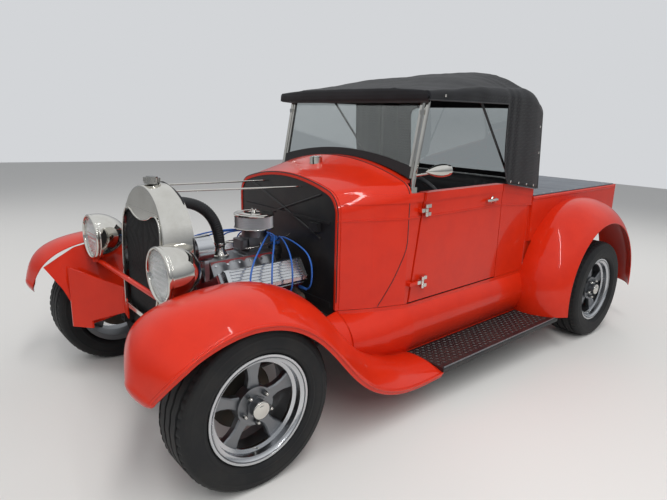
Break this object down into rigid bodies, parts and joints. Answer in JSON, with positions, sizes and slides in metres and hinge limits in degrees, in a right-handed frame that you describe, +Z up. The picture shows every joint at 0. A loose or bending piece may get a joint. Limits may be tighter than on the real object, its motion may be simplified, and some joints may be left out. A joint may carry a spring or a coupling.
{
  "type": "hot rod roadster pickup",
  "caption": "Lowered open-engine roadster pickup with soft top, bobbed rear fenders, covered box bed, plated radiator shell and five-spoke wheels.",
  "frame": {"origin": "on the ground, under the middle of the vehicle's length and width", "axes": "+X to the vehicle's left, +Y to its rear, +Z up"},
  "size_m": [1.701, 3.7387, 1.6631],
  "materials": {
    "paint_red": "gloss orange-red enamel",
    "engine_red": "dark red engine enamel",
    "frame_black": "satin black chassis paint",
    "chrome": "bright plated",
    "cast_alloy": "cast, dull grey with polished lip",
    "polished_alloy": "polished",
    "iron": "bare and dusty",
    "rubber": "moulded, slightly dusty",
    "hose_black": "ribbed",
    "core_black": "matt black fins",
    "top_fabric": "woven, matt",
    "vinyl": "grained black vinyl",
    "tread_black": "black tread plate",
    "glass": "clear",
    "lens": "fluted clear",
    "lamp_red": "red lens",
    "lead_blue": "blue silicone",
    "wheel_black": "black"
  },
  "bodies": {
    "chassis": {"air_cleaner": "chrome", "bed": "paint_red", "cab_rear": "paint_red", "carburettor": "cast_alloy", "cowl": "paint_red", "dashboard": "frame_black", "door_posts": "paint_red", "driveshaft": "frame_black", "engine_block": "engine_red", "engine_front": "polished_alloy", "exhaust": "iron", "filler_caps": "chrome", "firewall": "frame_black", "floor_pan": "frame_black", "frame": "frame_black", "front_axle": "frame_black", "front_fenders": "paint_red", "gearbox": "cast_alloy", "glass_panes": "glass", "headlamp_bar": "paint_red", "headlamp_lenses": "lens", "headlamps": "chrome", "mirror": "chrome", "plug_leads": "lead_blue", "radiator_core": "core_black", "radiator_hose": "hose_black", "radiator_shell": "chrome", "radius_rods": "frame_black", "rear_axle": "frame_black", "rear_fenders": "paint_red", "running_boards": "tread_black", "seat": "vinyl", "soft_top": "top_fabric", "spark_box": "frame_black", "splash_aprons": "paint_red", "springs": "frame_black", "steering_column": "frame_black", "support_rods": "chrome", "tail_lamps": "chrome", "tail_lenses": "lamp_red", "tonneau": "vinyl", "valve_covers": "polished_alloy", "windscreen_frame": "chrome"},
    "knuckle_left": {"knuckle_left": "iron"},
    "knuckle_right": {"knuckle_right": "iron"},
    "tie_rod": {"tie_rod": "frame_black"},
    "steering_wheel": {"steering_wheel": "wheel_black"},
    "door_left": {"door_left": "paint_red"},
    "door_right": {"door_right": "paint_red"},
    "tailgate": {"tailgate": "paint_red"},
    "wheel_front_left": {"tyre_front_left": "rubber", "wheel_front_left": "cast_alloy"},
    "wheel_front_right": {"tyre_front_right": "rubber", "wheel_front_right": "cast_alloy"},
    "wheel_rear_left": {"tyre_rear_left": "rubber", "wheel_rear_left": "cast_alloy"},
    "wheel_rear_right": {"tyre_rear_right": "rubber", "wheel_rear_right": "cast_alloy"}
  },
  "joints": [
    {"name": "steer_left", "type": "hinge", "parent": "chassis", "child": "knuckle_left", "pos_m": [0.59, -1.439, 0.314], "axis": [0, 0, 1], "range_deg": [-25, 25]},
    {"name": "steer_right", "type": "hinge", "parent": "chassis", "child": "knuckle_right", "pos_m": [-0.59, -1.439, 0.314], "axis": [0, 0, 1], "range_deg": [-25, 25]},
    {"name": "tie_rod_eye", "type": "hinge", "parent": "knuckle_left", "child": "tie_rod", "pos_m": [0.59, -1.304, 0.258], "axis": [0, 0, 1], "range_deg": [-25, 25]},
    {"name": "steering_wheel_turn", "type": "hinge", "parent": "chassis", "child": "steering_wheel", "pos_m": [0.3, -0.08661, 0.91972], "axis": [0, 0.8151, 0.5793], "range_deg": [-350, 350]},
    {"name": "door_left_hinge", "type": "hinge", "parent": "chassis", "child": "door_left", "pos_m": [0.586, -0.3557, 0.72861], "axis": [0, 0.0262, -0.9997], "range_deg": [0, 70]},
    {"name": "door_right_hinge", "type": "hinge", "parent": "chassis", "child": "door_right", "pos_m": [-0.586, -0.3557, 0.72861], "axis": [0, -0.0262, 0.9997], "range_deg": [0, 70]},
    {"name": "tailgate_hinge", "type": "hinge", "parent": "chassis", "child": "tailgate", "pos_m": [0, 1.85714, 0.70652], "axis": [-1, 0, 0], "range_deg": [0, 90]},
    {"name": "spin_front_left", "type": "hinge", "parent": "knuckle_left", "child": "wheel_front_left", "pos_m": [0.7, -1.439, 0.314], "axis": [1, 0, 0], "continuous": true},
    {"name": "spin_front_right", "type": "hinge", "parent": "knuckle_right", "child": "wheel_front_right", "pos_m": [-0.7, -1.439, 0.314], "axis": [1, 0, 0], "continuous": true},
    {"name": "spin_rear_left", "type": "hinge", "parent": "chassis", "child": "wheel_rear_left", "pos_m": [0.7, 1.19, 0.321], "axis": [1, 0, 0], "continuous": true},
    {"name": "spin_rear_right", "type": "hinge", "parent": "chassis", "child": "wheel_rear_right", "pos_m": [-0.7, 1.19, 0.321], "axis": [1, 0, 0], "continuous": true}
  ],
  "couplings": [
    {"joint": "steer_right", "follows": "steer_left", "ratio": 1},
    {"joint": "tie_rod_eye", "follows": "steer_left", "ratio": -1},
    {"joint": "steering_wheel_turn", "follows": "steer_left", "ratio": -14}
  ]
}
